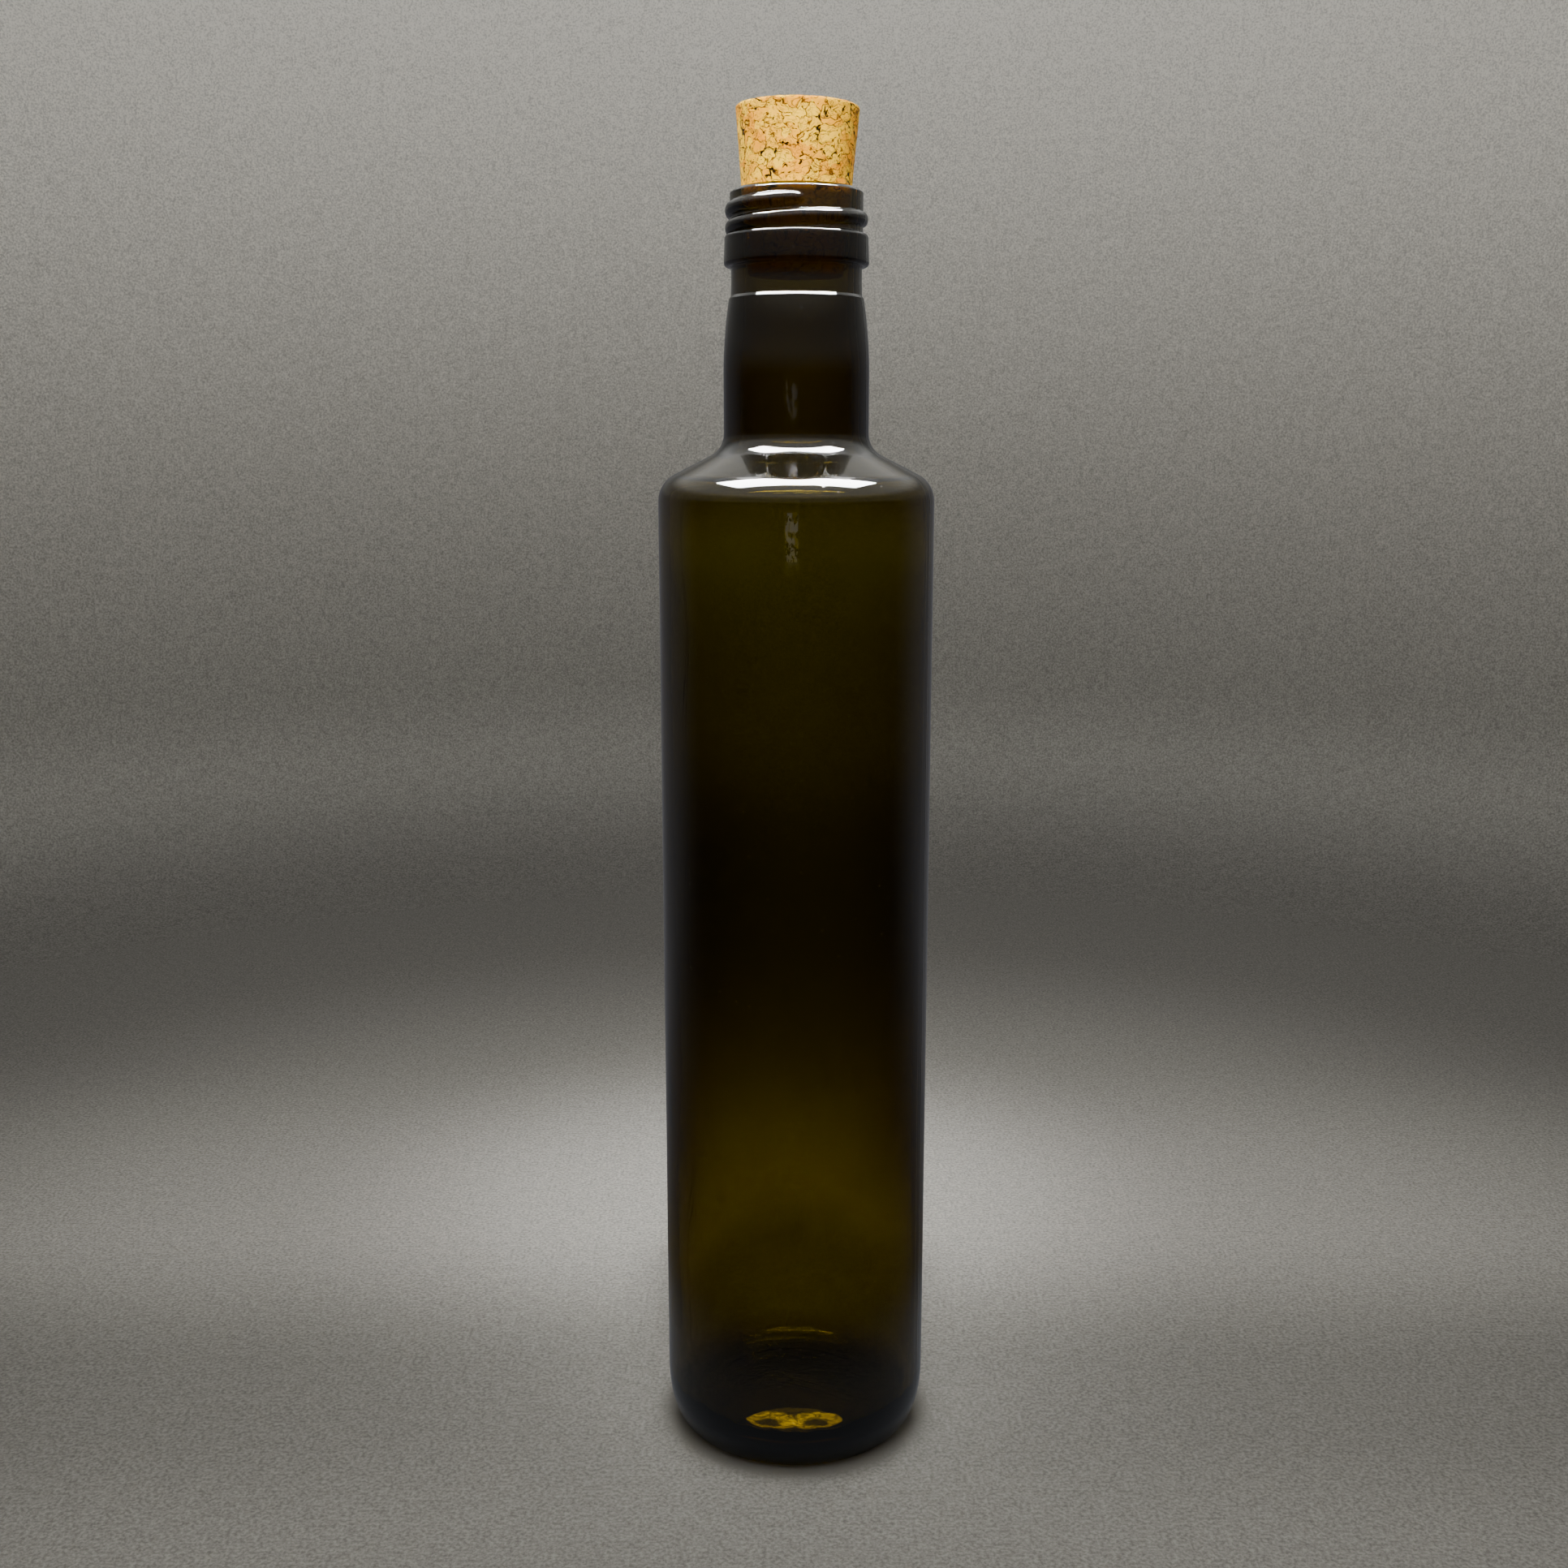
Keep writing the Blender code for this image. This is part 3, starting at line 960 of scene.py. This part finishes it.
    def make_camera(self, context, settings):
        data = bpy.data.cameras.new("camera")
        data.lens = settings.camera_lens
        data.sensor_width = SENSOR_WIDTH
        camera = bpy.data.objects.new("camera", data)
        camera.location = (CAMERA_SIDE, -settings.camera_distance, settings.camera_height)
        camera.rotation_euler = (math.pi / 2 - settings.camera_tilt, 0.0, 0.0)
        context.scene.collection.objects.link(camera)
        context.scene.camera = camera


class BOTTLE_OT_glass(bpy.types.Operator):
    """Makes the glass bottle: hollow, threaded, with a bead under the thread and a domed floor"""

    bl_idname = "bottle.glass"
    bl_label = "Glass bottle"

    def execute(self, context):
        settings = context.scene.bottle_glass
        outline = outside_of_glass(settings) + inside_of_glass(settings)
        glass = turned("glass_bottle", outline, settings.sides)
        work_glass(glass, settings)
        wear(glass, glass_material(settings))
        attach(glass, "root")
        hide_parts("bottle")
        return {"FINISHED"}


class BOTTLE_OT_cork(bpy.types.Operator):
    """Makes the tapered cork that stands in the mouth, leaning slightly to the right"""

    bl_idname = "bottle.cork"
    bl_label = "Cork"

    def execute(self, context):
        settings = context.scene.bottle_cork
        bottom = CORK_TOP - settings.length
        low_radius = settings.top_radius - settings.taper * settings.length
        outline = rounded([
            (0.0, bottom, 0.0),
            (low_radius, bottom, CORK_EDGE),
            (settings.top_radius, CORK_TOP, CORK_EDGE),
            (0.0, CORK_TOP, 0.0),
        ], CORK_EDGE_STEPS)
        cork = turned("pressed_cork", divided(outline, CORK_STRAIGHT), CORK_SIDES)
        self.roughen(cork)
        pivot = Vector((0.0, 0.0, LIP_TOP))
        lean = Matrix.Rotation(CORK_LEAN, 4, "Y")
        cork.data.transform(Matrix.Translation(pivot) @ lean @ Matrix.Translation(-pivot))
        wear(cork, cork_material(settings))
        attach(cork, "root")
        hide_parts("cork")
        bpy.data.collections["lit_cork"].objects.link(cork)
        return {"FINISHED"}

    def roughen(self, cork):
        """Gives the granules a low relief with pits, by displacing the surface along its normals."""
        bpy.context.view_layer.objects.active = cork
        for name, size, strength in CORK_LUMPS:
            texture = bpy.data.textures.new(name, "CLOUDS")
            texture.noise_scale = size
            relief = cork.modifiers.new(name, "DISPLACE")
            relief.texture = texture
            relief.texture_coords = "LOCAL"
            relief.strength = strength
            relief.mid_level = 0.5
            bpy.ops.object.modifier_apply(modifier=relief.name)


class BOTTLE_PT_panel(bpy.types.Panel):
    """Buttons that build the bottle, the cork and the stage"""

    bl_idname = "BOTTLE_PT_panel"
    bl_label = "Corked oil bottle"
    bl_space_type = "VIEW_3D"
    bl_region_type = "UI"
    bl_category = "Bottle"

    def draw(self, context):
        for operator, group in BUILD_ORDER:
            box = self.layout.box()
            box.operator(operator)
            settings = getattr(context.scene, group)
            for name in settings.bl_rna.properties.keys():
                if name not in ("rna_type", "name"):
                    box.prop(settings, name)


BUILD_ORDER = (
    ("bottle.stage", "bottle_stage"),
    ("bottle.glass", "bottle_glass"),
    ("bottle.cork", "bottle_cork"),
)
GROUPS = {
    "bottle_stage": StageSettings,
    "bottle_glass": BottleSettings,
    "bottle_cork": CorkSettings,
}
CLASSES = (
    StageSettings,
    BottleSettings,
    CorkSettings,
    BOTTLE_OT_stage,
    BOTTLE_OT_glass,
    BOTTLE_OT_cork,
    BOTTLE_PT_panel,
)


def register():
    for item in CLASSES:
        bpy.utils.register_class(item)
    for name, group in GROUPS.items():
        setattr(bpy.types.Scene, name, bpy.props.PointerProperty(type=group))


def unregister():
    for name in GROUPS:
        delattr(bpy.types.Scene, name)
    for item in reversed(CLASSES):
        bpy.utils.unregister_class(item)


def main():
    register()
    bpy.ops.bottle.stage()
    bpy.ops.bottle.glass()
    bpy.ops.bottle.cork()


if __name__ == "__main__":
    main()
